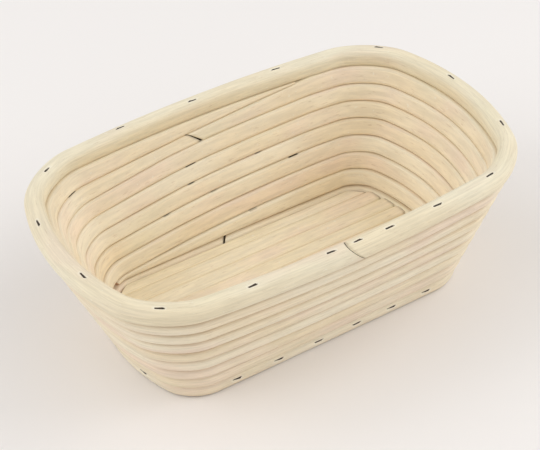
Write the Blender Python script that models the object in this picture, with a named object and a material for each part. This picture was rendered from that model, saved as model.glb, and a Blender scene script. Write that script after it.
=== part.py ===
"""A rectangular proofing basket, coiled from round rattan cane and held with wire staples.

Straight rods make the floor, inside a ring of cane that lies on the table. From the ring one long cane climbs
in seven turns, in two lengths that butt end to end. It begins and ends in a long wedge on the back wall, so
that the rim, a heavier cane, lies level. Staples hold rod to rod, ring to floor, turn to turn and the rim down.

Metres, +Z up. The origin is on the table, under the middle of the rim. +X runs along the basket. The back
wall, which carries both wedges, faces +Y.
"""
import math

import bmesh
import bpy
from mathutils import Matrix, Vector

# Outside sizes, over the cane
RIM_LENGTH = 0.250
RIM_WIDTH = 0.158
BASE_LENGTH = 0.191
BASE_WIDTH = 0.101

# How far the floor lies off the middle of the rim
FLOOR_SHIFT_X = 0.0012
FLOOR_SHIFT_Y = 0.0016

# Corner radius and outward bow of the cane's centre line
BASE_CORNER = 0.0117
RIM_CORNER = 0.0220
BASE_SIDE_BOW = 0.0003
RIM_SIDE_BOW = 0.0072
BASE_END_BOW = 0.0117
RIM_END_BOW = 0.0174

# Cane, and the room that touching pieces keep
CANE = 0.0094
RIM_CANE = 0.0103
TURNS = 7
ROW_GAP = 0.00055
SEAT = 0.0001
JOINT_GAP = 0.0004

# The wedges: where each begins and is done, as distances along the back wall from its middle
FIRST_WEDGE = (-0.090, 0.065)
LAST_WEDGE = (-0.085, 0.064)
FIRST_EASE = 2.0
LAST_EASE = 1.5

# The row below the last wedge thins by a share of its height over one stretch and fills out over another
PINCH = 0.30
PINCH_STARTS = (-0.085, -0.030)
PINCH_ENDS = (-0.008, 0.065)

# Cut ends of the cane, as bearings seen from above: degrees from +X towards +Y
COIL_START = 149.0
COIL_JOINT = 100.0
COIL_END = 60.0
RIM_JOINT = -93.0
RING_JOINT = 96.2

# Floor rods: their widths, from the back, and the room beside them and at their ends
ROD_WIDTHS = (0.0066, 0.0092, 0.0095, 0.0082, 0.0088, 0.0088, 0.0088, 0.0088, 0.0087)
ROD_ROOM = 0.00035
ROD_END_GAP = 0.0006

# Staples of square wire
WIRE = 0.00095
CROWN = 0.0056
LONG_LEG = 0.0150
SHORT_LEG = 0.0125
CHISEL = 0.0008
CLEARANCE = 0.0003
FLUSH = 0.0001
BURIED = 0.00035
OPEN_ABOVE = 0.0010
HIDDEN_ABOVE = 0.00015
# Each rim staple: its bearing, and how far out from the middle of the rim's top it was driven
RIM_STAPLES = (
    (123.6, 0.0010), (93.8, -0.0011), (57.0, 0.0001), (28.5, 0.0010),
    (5.2, 0.0006), (-18.2, 0.0017), (-39.5, 0.0005), (-56.4, 0.0011),
    (-75.3, 0.0006), (-89.3, -0.0001), (-100.7, -0.0002), (-128.4, 0.0013),
    (-148.6, 0.0017), (-169.9, 0.0003), (167.3, 0.0017), (146.7, -0.0002),
)
SIDE_STAPLES = (-141.6, -125.1, -98.9, -69.6, -49.1, -36.1)
END_STAPLES = (1.5, 167.4, -169.2)
# Each wall staple: its bearing, and the turn of the coil that its crown lies on
WALL_STAPLES = ((144.0, 6), (103.3, 4), (109.6, 3), (97.1, 2), (122.8, 2), (68.3, 3), (51.4, 2), (74.4, 0))
FLOOR_STAPLE_X = (-0.044, 0.020)

# Fineness of the cane
SIDES = 8
CORNER_POINTS = 4
SIDE_POINTS = (5, 3, 5, 3)

CANE_COLOUR = (0.80, 0.66, 0.45, 1.0)
RIM_COLOUR = (0.84, 0.76, 0.58, 1.0)
FLOOR_COLOUR = (0.80, 0.64, 0.42, 1.0)
WIRE_COLOUR = (0.06, 0.05, 0.04, 1.0)

# What follows from these: distances up the leaning wall start at the ring's centre line
REACH = 1 / math.cos(math.pi / SIDES)
ROW = CANE + ROW_GAP
WALL_FOOT = CANE / 2 * REACH + SEAT
RIM_RISE = WALL_FOOT + TURNS * ROW + SEAT + RIM_CANE / 2 * REACH
SIDE_RUN = ((RIM_WIDTH - RIM_CANE) - (BASE_WIDTH - CANE)) / 2
END_RUN = ((RIM_LENGTH - RIM_CANE) - (BASE_LENGTH - CANE)) / 2
LEAN = math.asin((SIDE_RUN + END_RUN) / 2 / RIM_RISE)
RIM_STAPLE_TILT = LEAN / 2
STATIONS = 4 * CORNER_POINTS + sum(SIDE_POINTS)
LEFT_HALF = SIDE_POINTS[3] // 2 + 1
BACK_MIDDLE = LEFT_HALF + CORNER_POINTS + SIDE_POINTS[0] // 2
UP = Vector((0, 0, 1))
FLOOR_MIDDLE = Vector((FLOOR_SHIFT_X, FLOOR_SHIFT_Y, 0))


def clear_scene():
    for item in list(bpy.data.objects):
        bpy.data.objects.remove(item, do_unlink=True)


def make_material(name, colour, roughness, metallic):
    material = bpy.data.materials.new(name)
    material.use_nodes = True
    shader = material.node_tree.nodes["Principled BSDF"]
    shader.inputs["Base Color"].default_value = colour
    shader.inputs["Roughness"].default_value = roughness
    shader.inputs["Metallic"].default_value = metallic
    return material


def add_object(name, shape, material, parent):
    mesh = bpy.data.meshes.new(name)
    bmesh.ops.recalc_face_normals(shape, faces=shape.faces)
    shape.to_mesh(mesh)
    shape.free()
    mesh.shade_smooth()
    mesh.set_sharp_from_angle(angle=math.radians(50))
    mesh.materials.append(material)
    item = bpy.data.objects.new(name, mesh)
    bpy.context.collection.objects.link(item)
    item.parent = parent
    return item


def between(low, high, share):
    return low + (high - low) * share


# The loops that the cane follows

def loop_places():
    """Places round a rounded rectangle, clockwise from the middle of the left end.

    Each is the corner that it belongs to, as signs along X and Y, and the direction out from that corner's
    centre. Along a straight side the signs run from one corner to the next.
    """
    corners = ((-1, 1), (1, 1), (1, -1), (-1, -1))
    places = []
    for number, (sign_x, sign_y) in enumerate(corners):
        for step in range(CORNER_POINTS):
            angle = math.pi - (number + step / (CORNER_POINTS - 1)) * math.pi / 2
            places.append((sign_x, sign_y, math.cos(angle), math.sin(angle)))
        next_x, next_y = corners[(number + 1) % 4]
        for step in range(1, SIDE_POINTS[number] + 1):
            share = step / (SIDE_POINTS[number] + 1)
            side_x = between(sign_x, next_x, share)
            side_y = between(sign_y, next_y, share)
            places.append((side_x, side_y, math.cos(angle), math.sin(angle)))
    return places[-LEFT_HALF:] + places[:-LEFT_HALF]


PLACES = loop_places()


def station_point(share, number):
    """Plan position of a station on the loop that lies a share of the way from base ring to rim."""
    corner = between(BASE_CORNER, RIM_CORNER, share)
    bow_x = between(BASE_END_BOW, RIM_END_BOW, share)
    bow_y = between(BASE_SIDE_BOW, RIM_SIDE_BOW, share)
    half_x = between(BASE_LENGTH - CANE, RIM_LENGTH - RIM_CANE, share) / 2 - bow_x
    half_y = between(BASE_WIDTH - CANE, RIM_WIDTH - RIM_CANE, share) / 2 - bow_y
    sign_x, sign_y, out_x, out_y = PLACES[number % STATIONS]
    x = sign_x * (half_x - corner) + corner * out_x
    y = sign_y * (half_y - corner) + corner * out_y
    bowed_x = x * (1 + bow_x / half_x * (1 - (y / half_y) ** 2))
    bowed_y = y * (1 + bow_y / half_y * (1 - (x / half_x) ** 2))
    return Vector((bowed_x, bowed_y, 0)) + FLOOR_MIDDLE * (1 - share)


def loop_point(share, index):
    """Plan position at a station or part of the way to the next one."""
    number = math.floor(index)
    return station_point(share, number).lerp(station_point(share, number + 1), index - number)


def wall_point(rise, index):
    """A point on the leaning wall's middle surface, a distance up from the base ring's centre line."""
    point = loop_point(rise / RIM_RISE, index)
    point.z = CANE / 2 + rise * math.cos(LEAN)
    return point


def heading(share, index):
    """Directions along the loop and out of the basket at a place on a loop."""
    travel = (loop_point(share, index + 0.5) - loop_point(share, index - 0.5)).normalized()
    return travel, Vector((-travel.y, travel.x, 0))


def index_at(share, bearing):
    """The place where a loop crosses a bearing."""
    ray = Vector((math.cos(math.radians(bearing)), math.sin(math.radians(bearing)), 0))
    for number in range(STATIONS):
        here = station_point(share, number)
        there = station_point(share, number + 1)
        before = ray.cross(here).z
        after = ray.cross(there).z
        if before > 0 >= after and ray.dot(here) > 0:
            return number + before / (before - after)
    raise ValueError(f"no crossing at bearing {bearing}")


def marks_between(low, high):
    """The two ends of a run and the whole stations well inside it."""
    clear_of_ends = 0.05
    inner = [mark for mark in range(math.ceil(low), math.floor(high) + 1)
             if min(mark - low, high - mark) > clear_of_ends]
    return [low, *inner, high]


def distance_along(share, index):
    """Distance along a loop from the middle of the back wall, negative towards the left end."""
    marks = marks_between(*sorted((BACK_MIDDLE, index)))
    points = [loop_point(share, mark) for mark in marks]
    length = sum((end - start).length for start, end in zip(points, points[1:]))
    return math.copysign(length, index - BACK_MIDDLE)


# Cane laid along a path

def sweep(rings, lean):
    """A closed cane through rings of a centre, a half width and a half height, leaning out by an angle."""
    shape = bmesh.new()
    loops = []
    for number, (centre, half_width, half_height) in enumerate(rings):
        before = rings[max(number - 1, 0)][0]
        after = rings[min(number + 1, len(rings) - 1)][0]
        travel = Vector((after.x - before.x, after.y - before.y, 0)).normalized()
        out = Vector((-travel.y, travel.x, 0))
        wide = out * math.cos(lean) - UP * math.sin(lean)
        tall = out * math.sin(lean) + UP * math.cos(lean)
        loop = []
        for side in range(SIDES):
            angle = (side + 0.5) * 2 * math.pi / SIDES
            across = wide * half_width * REACH * math.cos(angle)
            upward = tall * half_height * REACH * math.sin(angle)
            loop.append(shape.verts.new(centre + across + upward))
        loops.append(loop)
    for first, second in zip(loops, loops[1:]):
        for side in range(SIDES):
            other = (side + 1) % SIDES
            shape.faces.new((first[side], first[other], second[other], second[side]))
    shape.faces.new(loops[0])
    shape.faces.new(loops[-1])
    return shape


def ring_cane(rise, diameter, joint):
    """A ring bent from one level length of cane, open by a hair at its butt joint."""
    share = rise / RIM_RISE
    start = index_at(share, joint)
    step = (loop_point(share, start + 0.5) - loop_point(share, start - 0.5)).length
    half_gap = JOINT_GAP / 2 / step
    marks = marks_between(start + half_gap, start + STATIONS - half_gap)
    return sweep([(wall_point(rise, mark), diameter / 2, diameter / 2) for mark in marks], 0)


def wedge_share(share, index, wedge):
    """How far along a wedge a place on a loop is, from 0 to 1."""
    begin, end = wedge
    travelled = distance_along(share, index) - begin
    return min(max(travelled / (end - begin), 0), 1)


def coil_ring(position):
    """The coil's section at a position counted in stations: the first turn lies on the ring.

    On the back wall each turn climbs a row: the first one thickens from a wedge, quickly and then slowly, the
    one past the last thins to nothing under the rim, and the row below that is pinched. Together the rows
    always fill the wall.
    """
    turn, index = divmod(position, STATIONS)
    first = 1 - (1 - wedge_share(0, index, FIRST_WEDGE)) ** FIRST_EASE
    last = wedge_share(1, index, LAST_WEDGE) ** LAST_EASE
    pinch = PINCH * (wedge_share(1, index, PINCH_STARTS) - wedge_share(1, index, PINCH_ENDS))
    rows = [first] + [1] * (TURNS - 2) + [1 - pinch, 1 - last]
    squeeze = TURNS / sum(rows)
    bottom = sum(rows[:int(turn)]) * squeeze
    thickness = rows[int(turn)] * squeeze
    top = bottom + thickness
    cut_width = math.sqrt(1 - (1 - 2 * min(thickness, 0.5)) ** 2)
    centre = wall_point(WALL_FOOT + (bottom + top) / 2 * ROW, index)
    return centre, CANE / 2 * cut_width, (thickness * ROW - ROW_GAP) / 2


def coil_lengths():
    """The rings of the coil's lower and upper length."""
    start = index_at(0, COIL_START)
    joint = (TURNS - 1) * STATIONS + index_at((TURNS - 1) / TURNS, COIL_JOINT)
    end = TURNS * STATIONS + index_at(1, COIL_END)
    step = (coil_ring(joint + 0.5)[0] - coil_ring(joint - 0.5)[0]).length
    half_gap = JOINT_GAP / 2 / step
    lower = [coil_ring(mark) for mark in marks_between(start, joint - half_gap)]
    upper = [coil_ring(mark) for mark in marks_between(joint + half_gap, end)]
    return lower, upper


def least_gap(rings):
    """The least room between turns of a coil, measured up the wall on its points."""
    gaps = []
    for number, (centre, _, half_height) in enumerate(rings):
        for other, _, other_height in rings[number + STATIONS // 2:]:
            gaps.append((other - centre).length - half_height - other_height)
    return min(gaps)


# Floor

def inner_reach(y):
    """How far from its middle the floor may run along X at a place across it, clear of the base ring."""
    room = CANE / 2 + ROD_END_GAP
    right_side = range(BACK_MIDDLE, BACK_MIDDLE + STATIONS // 2 + 1)
    edge = [loop_point(0, number) - heading(0, number)[1] * room - FLOOR_MIDDLE for number in right_side]
    for start, end in zip(edge, edge[1:]):
        if start.y >= y > end.y:
            return between(start.x, end.x, (start.y - y) / (start.y - end.y))
    raise ValueError(f"no floor at {y}")


def rod_places():
    """Each rod's place across the floor, from the back, and its width."""
    edge = (sum(ROD_WIDTHS) + ROD_ROOM * (len(ROD_WIDTHS) - 1)) / 2
    places = []
    for width in ROD_WIDTHS:
        places.append((edge - width / 2, width))
        edge -= width + ROD_ROOM
    return places


def floor_rod(y, width):
    """A straight rod whose ends are cut at a slant to follow the base ring."""
    shape = bmesh.new()
    half = CANE / 2
    inner, outer = sorted((y - width / 2, y + width / 2), key=abs)
    loops = []
    for side in (-1, 1):
        loop = []
        for corner in range(SIDES):
            angle = (corner + 0.5) * 2 * math.pi / SIDES
            across = y + width / 2 * REACH * math.cos(angle)
            share = (across - inner) / (outer - inner)
            end = between(inner_reach(inner), inner_reach(outer), share)
            height = half + half * REACH * math.sin(angle)
            loop.append(shape.verts.new(FLOOR_MIDDLE + Vector((side * end, across, height))))
        shape.faces.new(loop)
        loops.append(loop)
    for corner in range(SIDES):
        other = (corner + 1) % SIDES
        shape.faces.new((loops[0][corner], loops[0][other], loops[1][other], loops[1][corner]))
    return shape


# Staples

def staple_frame(seat, drive, along):
    """Places a staple: its crown runs along, its legs point where it is driven."""
    up = -drive
    axes = Matrix((along, up.cross(along), up)).transposed()
    return Matrix.Translation(seat) @ axes.to_4x4()


def add_staple(shape, frame, leg, grow=0.0, above=0.0):
    """Adds a staple with chiselled legs, or the larger slot that it is driven in."""
    outer = CROWN / 2 + grow
    inner = CROWN / 2 - WIRE - grow
    under = -WIRE - grow
    foot = -leg - grow
    right = ((outer, above), (outer, foot), (inner, foot + CHISEL), (inner, under))
    left = [(-x, z) for x, z in reversed(right)]
    corners = [shape.verts.new((x, -WIRE / 2 - grow, z)) for x, z in (*right, *left)]
    face = shape.faces.new(corners)
    extruded = bmesh.ops.extrude_face_region(shape, geom=[face])["geom"]
    moved = [item for item in extruded if isinstance(item, bmesh.types.BMVert)]
    bmesh.ops.translate(shape, verts=moved, vec=(0, WIRE + 2 * grow, 0))
    bmesh.ops.transform(shape, matrix=frame, verts=corners + moved)


def rim_staple_frames():
    frames = []
    for bearing, offset in RIM_STAPLES:
        index = index_at(1, bearing)
        travel, out = heading(1, index)
        seat = wall_point(RIM_RISE, index) + UP * (RIM_CANE / 2 - FLUSH) + out * offset
        drive = -UP * math.cos(RIM_STAPLE_TILT) - out * math.sin(RIM_STAPLE_TILT)
        frames.append(staple_frame(seat, drive, travel))
    return frames


def base_staple_frames():
    frames = []
    back_staples = [bearing + 180 for bearing in SIDE_STAPLES]
    for bearing in (*SIDE_STAPLES, *back_staples, *END_STAPLES):
        index = index_at(0, bearing)
        travel, out = heading(0, index)
        seat = wall_point(0, index) + out * (CANE / 2 - FLUSH)
        frames.append(staple_frame(seat, -out, travel))
    return frames


def wall_staple_frames():
    frames = []
    for bearing, turn in WALL_STAPLES:
        index = index_at((turn + 1) / (TURNS + 1), bearing)
        position = turn * STATIONS + index
        centre, _, half_height = coil_ring(position)
        travel = (coil_ring(position + 0.2)[0] - coil_ring(position - 0.2)[0]).normalized()
        out = heading(0.5, index)[1]
        slope = out * math.sin(LEAN) + UP * math.cos(LEAN)
        slope = (slope - travel * slope.dot(travel)).normalized()
        frames.append(staple_frame(centre + slope * (half_height - BURIED), -slope, travel))
    return frames


def floor_staple_frames():
    frames = []
    for number, (y, width) in enumerate(rod_places()[1:], 1):
        x = FLOOR_STAPLE_X[number % 2]
        seat = FLOOR_MIDDLE + Vector((x, y - width / 2 + BURIED, CANE / 2))
        frames.append(staple_frame(seat, Vector((0, 1, 0)), Vector((1, 0, 0))))
    return frames


def make_staples(name, frames, leg, above, material, parent):
    """One object for each staple, and one hidden cutter for all their slots."""
    slots = bmesh.new()
    digits = len(str(len(frames)))
    for number, frame in enumerate(frames, 1):
        shape = bmesh.new()
        add_staple(shape, frame, leg)
        add_object(f"{name}_{number:0{digits}d}", shape, material, parent)
        add_staple(slots, frame, leg, CLEARANCE, above)
    cutter = add_object(f"{name}_slots", slots, material, parent)
    cutter.hide_render = True
    cutter.display_type = "WIRE"
    return cutter


def cut_slots(item, *cutters):
    for cutter in cutters:
        modifier = item.modifiers.new(cutter.name, "BOOLEAN")
        modifier.operation = "DIFFERENCE"
        modifier.solver = "EXACT"
        modifier.object = cutter


def build():
    clear_scene()
    basket = bpy.data.objects.new("proofing_basket", None)
    bpy.context.collection.objects.link(basket)
    cane = make_material("peeled_cane", CANE_COLOUR, 0.6, 0.0)
    rim_finish = make_material("rim_cane", RIM_COLOUR, 0.6, 0.0)
    floor_finish = make_material("floor_cane", FLOOR_COLOUR, 0.6, 0.0)
    wire = make_material("staple_wire", WIRE_COLOUR, 0.45, 0.9)

    rim_slots = make_staples("rim_staple", rim_staple_frames(), LONG_LEG, OPEN_ABOVE, wire, basket)
    base_slots = make_staples("base_staple", base_staple_frames(), LONG_LEG, OPEN_ABOVE, wire, basket)
    hidden_above = BURIED + HIDDEN_ABOVE
    wall_slots = make_staples("wall_staple", wall_staple_frames(), SHORT_LEG, hidden_above, wire, basket)
    floor_slots = make_staples("floor_staple", floor_staple_frames(), SHORT_LEG, hidden_above, wire, basket)

    lower, upper = coil_lengths()
    lower_cane = add_object("lower_wall_cane", sweep(lower, LEAN), cane, basket)
    upper_cane = add_object("upper_wall_cane", sweep(upper, LEAN), cane, basket)
    rim = add_object("rim_cane", ring_cane(RIM_RISE, RIM_CANE, RIM_JOINT), rim_finish, basket)
    ring = add_object("base_cane", ring_cane(0, CANE, RING_JOINT), cane, basket)
    cut_slots(rim, rim_slots)
    cut_slots(upper_cane, rim_slots)
    cut_slots(lower_cane, wall_slots)
    cut_slots(ring, base_slots, wall_slots)
    for number, (y, width) in enumerate(rod_places(), 1):
        rod = add_object(f"floor_rod_{number}", floor_rod(y, width), floor_finish, basket)
        cut_slots(rod, base_slots, floor_slots)

    height = CANE / 2 + RIM_RISE * math.cos(LEAN) + RIM_CANE / 2
    print(f"height {height:.4f} m, walls lean {math.degrees(LEAN):.1f} degrees")
    print(f"least gap between turns {least_gap([*lower, *upper]) * 1000:.2f} mm")


build()
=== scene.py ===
# %% [markdown]
# # A proofing basket coiled from rattan cane
#
# A baker's proofing basket is wound from one long cane, much as a coil pot is rolled from clay. This
# lesson starts from plain eight-sided solids of its canes and staples. Over each of them it lays the real
# thing: a round cane with long grain and cut ends, or a bent piece of dark wire.

# %% Load the solids
import math

import bpy
from mathutils import Matrix, Quaternion, Vector


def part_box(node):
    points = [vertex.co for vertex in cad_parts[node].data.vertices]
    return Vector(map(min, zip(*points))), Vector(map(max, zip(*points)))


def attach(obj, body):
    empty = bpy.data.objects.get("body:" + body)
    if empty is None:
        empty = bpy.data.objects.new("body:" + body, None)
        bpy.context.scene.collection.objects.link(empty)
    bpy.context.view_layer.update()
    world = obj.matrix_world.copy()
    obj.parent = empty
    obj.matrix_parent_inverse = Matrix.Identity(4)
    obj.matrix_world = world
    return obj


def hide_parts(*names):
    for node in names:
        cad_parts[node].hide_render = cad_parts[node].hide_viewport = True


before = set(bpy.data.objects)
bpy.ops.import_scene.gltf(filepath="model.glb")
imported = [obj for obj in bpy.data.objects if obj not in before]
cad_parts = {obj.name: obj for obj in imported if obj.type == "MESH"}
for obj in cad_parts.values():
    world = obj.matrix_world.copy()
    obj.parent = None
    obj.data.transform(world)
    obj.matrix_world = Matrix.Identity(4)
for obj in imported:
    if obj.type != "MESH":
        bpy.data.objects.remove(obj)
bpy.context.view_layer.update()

# %% [markdown]
# ## The camera
#
# The picture is taken from the front left, well above the rim, with a long lens that keeps the far side
# almost as large as the near one. The camera also leans a little to one side. A quaternion first turns it
# to look at the basket, and a second one rolls it about its own line of sight.

# %% Place the camera
EYE = Vector((-0.33477, -0.57755, 0.58970))
AIM = Vector((-0.00066, 0.00527, 0.04230))
ROLL = math.radians(-3.16)


def add_object(name, data):
    """A new object, linked into the scene."""
    item = bpy.data.objects.new(name, data)
    bpy.context.collection.objects.link(item)
    return item


def look_from(item, place, target, roll=0.0):
    """Puts a camera or a lamp in its place, looking at a target."""
    item.rotation_mode = "QUATERNION"
    item.location = place
    item.rotation_quaternion = (target - place).to_track_quat("-Z", "Y") @ Quaternion((0, 0, 1), roll)


camera_data = bpy.data.cameras.new("camera")
camera_data.lens = 110.85
camera = add_object("camera", camera_data)
look_from(camera, EYE, AIM, ROLL)
bpy.context.scene.camera = camera
bpy.context.scene.view_settings.view_transform = "Standard"
print("camera distance in mm:", round(1000 * (EYE - AIM).length))

# %% [markdown]
# ## Small helpers for node trees
#
# Every tree below is made of a few kinds of step: start a tree with named sockets, add a node, give some
# of its inputs a value and link others. A few helpers keep that short. An input that is given as a socket
# is linked, and any other value is typed in.


# %% Node helpers
def start_tree(name, kind, inputs, outputs):
    """A node tree with named sockets: the tree, its inputs and the node that takes its outputs."""
    tree = bpy.data.node_groups.new(name, kind)
    for title, socket_kind, value in inputs:
        socket = tree.interface.new_socket(title, in_out="INPUT", socket_type="NodeSocket" + socket_kind)
        if value is not None:
            socket.default_value = value
    for title, socket_kind in outputs:
        tree.interface.new_socket(title, in_out="OUTPUT", socket_type="NodeSocket" + socket_kind)
    return tree, tree.nodes.new("NodeGroupInput").outputs, tree.nodes.new("NodeGroupOutput")


def fill(tree, node, inputs):
    """Fills a node's inputs with values or links."""
    for socket, value in inputs.items():
        if isinstance(value, bpy.types.NodeSocket):
            tree.links.new(value, node.inputs[socket])
        else:
            node.inputs[socket].default_value = value


def add_node(tree, kind, inputs=None, **options):
    """Adds a node, sets its options, fills its inputs and gives back its outputs."""
    node = tree.nodes.new(kind)
    for option, value in options.items():
        setattr(node, option, value)
    fill(tree, node, inputs or {})
    return node.outputs


def add_math(tree, operation, *values):
    """One step of arithmetic on numbers."""
    return add_node(tree, "ShaderNodeMath", dict(enumerate(values)), operation=operation)[0]


def product(tree, first, *others):
    """Numbers multiplied one after another."""
    for other in others:
        first = add_math(tree, "MULTIPLY", first, other)
    return first


def add_vector_math(tree, operation, *values):
    """One step of arithmetic on vectors."""
    return add_node(tree, "ShaderNodeVectorMath", dict(enumerate(values)), operation=operation)[0]


def add_scaled(tree, vector, factor):
    """A vector made longer or shorter by a number."""
    inputs = {0: vector, "Scale": factor}
    return add_node(tree, "ShaderNodeVectorMath", inputs, operation="SCALE")[0]


def add_ramp(tree, value, low, high, at_low=0.0, at_high=1.0):
    """A smooth step from one value to another."""
    inputs = {"Value": value, "From Min": low, "From Max": high, "To Min": at_low, "To Max": at_high}
    return add_node(tree, "ShaderNodeMapRange", inputs, interpolation_type="SMOOTHSTEP")["Result"]


def add_stored(tree, title, kind):
    """A number or a vector that each point of a mesh carries, for a Geometry Nodes tree."""
    return add_node(tree, "GeometryNodeInputNamedAttribute", {"Name": title}, data_type=kind)[0]


# %% [markdown]
# ## The loops that the cane follows
#
# Seen from above, each turn is a rectangle with rounded corners whose sides bow outwards. The base ring
# is the smallest loop and the rim the largest, and every turn between them is a blend of the two. The
# ring also lies a little off the middle of the rim. The outside sizes and places are read from the
# solids. The corners and bows are the same few numbers that the solids were made with.

# %% Sizes of the loops
rim_low, rim_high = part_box("rim_cane")
ring_low, ring_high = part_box("base_cane")
rim_size = rim_high - rim_low
ring_size = ring_high - ring_low
RIM_CANE = rim_size.z
CANE = ring_size.z
RIM_CORNER = 0.0220
RING_CORNER = 0.0117
RIM_BOW = Vector((0.0174, 0.0072))
RING_BOW = Vector((0.0117, 0.0003))
RIM_HALF = (rim_size.xy - Vector((RIM_CANE, RIM_CANE))) / 2
RING_HALF = (ring_size.xy - Vector((CANE, CANE))) / 2
FLOOR_MIDDLE = Vector(((ring_low.x + ring_high.x) / 2, (ring_low.y + ring_high.y) / 2, 0))

# A turn of the coil takes the cane's height and a hair of room. The solids are octagons, so their corners
# reach a little further than a round cane would.
TURNS = 7
ROW_GAP = 0.00055
ROW = CANE + ROW_GAP
OCTAGON_REACH = 1 / math.cos(math.pi / 8)
SEAT = 0.0001
WALL_FOOT = CANE / 2 * OCTAGON_REACH + SEAT
RIM_RISE = WALL_FOOT + TURNS * ROW + SEAT + RIM_CANE / 2 * OCTAGON_REACH
rim_height = (rim_low.z + rim_high.z) / 2 - CANE / 2
LEAN = math.acos(rim_height / RIM_RISE)
print("cane", round(1000 * CANE, 2), "rim cane", round(1000 * RIM_CANE, 2), "mm")
print("the walls lean", round(math.degrees(LEAN), 1), "degrees")

# %% [markdown]
# A loop is cut into stations: a dozen round each corner and a longer row along each side. They start in
# the middle of the left end and run clockwise, first along the back wall, where the coil begins and ends.

# %% Stations round a loop
CORNER_STEPS = 12
SIDE_STEPS = (65, 37, 65, 37)
LEFT_HALF = SIDE_STEPS[3] // 2 + 1
UP = Vector((0, 0, 1))


def loop_places():
    """Each station's corner, as signs along X and Y, and the direction out from that corner's centre."""
    corners = ((-1, 1), (1, 1), (1, -1), (-1, -1))
    places = []
    for number, (sign_x, sign_y) in enumerate(corners):
        for step in range(CORNER_STEPS):
            angle = math.pi - (number + step / (CORNER_STEPS - 1)) * math.pi / 2
            places.append((sign_x, sign_y, math.cos(angle), math.sin(angle)))
        next_x, next_y = corners[(number + 1) % 4]
        for step in range(1, SIDE_STEPS[number] + 1):
            share = step / (SIDE_STEPS[number] + 1)
            side_x = sign_x + (next_x - sign_x) * share
            side_y = sign_y + (next_y - sign_y) * share
            places.append((side_x, side_y, math.cos(angle), math.sin(angle)))
    return places[-LEFT_HALF:] + places[:-LEFT_HALF]


PLACES = loop_places()
STATIONS = len(PLACES)
BACK_MIDDLE = LEFT_HALF + CORNER_STEPS + SIDE_STEPS[0] // 2


def station_point(share, number):
    """A station's place in plan, on the loop that lies a share of the way from base ring to rim."""
    corner = RING_CORNER + (RIM_CORNER - RING_CORNER) * share
    bow = RING_BOW.lerp(RIM_BOW, share)
    half = RING_HALF.lerp(RIM_HALF, share) - bow
    sign_x, sign_y, out_x, out_y = PLACES[number % STATIONS]
    x = sign_x * (half.x - corner) + corner * out_x
    y = sign_y * (half.y - corner) + corner * out_y
    bowed_x = x * (1 + bow.x / half.x * (1 - (y / half.y) ** 2))
    bowed_y = y * (1 + bow.y / half.y * (1 - (x / half.x) ** 2))
    return Vector((bowed_x, bowed_y, 0)) + FLOOR_MIDDLE * (1 - share)


def loop_point(share, index):
    """A place on a loop, at a station or part of the way to the next one."""
    number = math.floor(index)
    return station_point(share, number).lerp(station_point(share, number + 1), index - number)


def wall_point(rise, index):
    """A place in the leaning wall, a distance up its slope from the middle of the base ring's cane."""
    point = loop_point(rise / RIM_RISE, index)
    point.z = CANE / 2 + rise * math.cos(LEAN)
    return point


def index_at(share, bearing):
    """Where a loop crosses a bearing, in degrees from +X towards +Y."""
    ray = Vector((math.cos(math.radians(bearing)), math.sin(math.radians(bearing)), 0))
    for number in range(STATIONS):
        here = station_point(share, number)
        before = ray.cross(here).z
        after = ray.cross(station_point(share, number + 1)).z
        if before > 0 >= after and ray.dot(here) > 0:
            return number + before / (before - after)
    raise ValueError(f"no crossing at bearing {bearing}")


def marks_between(start, end, least_step=0.3):
    """The two ends of a run, and the whole stations well inside it."""
    inner = range(math.ceil(start + least_step), math.floor(end - least_step) + 1)
    return [start, *inner, end]


print("stations round each loop:", STATIONS)

# %% [markdown]
# ## Sections of the coil
#
# The coil begins as a wedge on the base ring and ends as another wedge under the rim, both on the back
# wall. Between them each turn climbs by one row. The first wedge thickens quickly and then slowly, the
# last one thins slowly and then quickly, and the row below it is pinched. All rows together always fill
# the wall. A section of the coil is its centre and its thickness, as a share of a full row.

# %% Sections of the coil
FIRST_WEDGE = (-0.090, 0.065)
LAST_WEDGE = (-0.085, 0.064)
FIRST_EASE = 2.0
LAST_EASE = 1.5
PINCH = 0.30
PINCH_STARTS = (-0.085, -0.030)
PINCH_ENDS = (-0.008, 0.065)


def distances_along(share):
    """Distance of each station from the middle of the back wall, negative towards the left end."""
    points = [station_point(share, number) for number in range(STATIONS + 1)]
    total = [0.0]
    for start, end in zip(points, points[1:]):
        total.append(total[-1] + (end - start).length)
    return [value - total[BACK_MIDDLE] for value in total]


ALONG_RING = distances_along(0)
ALONG_RIM = distances_along(1)


def wedge_share(distances, index, wedge):
    """How far along a wedge a place on a loop is, from 0 to 1."""
    number = math.floor(index)
    distance = distances[number] + (distances[number + 1] - distances[number]) * (index - number)
    return min(max((distance - wedge[0]) / (wedge[1] - wedge[0]), 0), 1)


def coil_section(position):
    """Centre and thickness of the coil at a position counted in stations."""
    turn, index = divmod(position, STATIONS)
    first = 1 - (1 - wedge_share(ALONG_RING, index, FIRST_WEDGE)) ** FIRST_EASE
    last = wedge_share(ALONG_RIM, index, LAST_WEDGE) ** LAST_EASE
    thinned = wedge_share(ALONG_RIM, index, PINCH_STARTS)
    pinch = PINCH * (thinned - wedge_share(ALONG_RIM, index, PINCH_ENDS))
    rows = [first] + [1] * (TURNS - 2) + [1 - pinch, 1 - last]
    squeeze = TURNS / sum(rows)
    thickness = rows[int(turn)] * squeeze
    middle = sum(rows[:int(turn)]) * squeeze + thickness / 2
    return wall_point(WALL_FOOT + middle * ROW, index), thickness


for title, distances in (("ring", ALONG_RING), ("rim", ALONG_RIM)):
    print("once round the", title, "in mm:", round(1000 * (distances[-1] - distances[0])))

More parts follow.
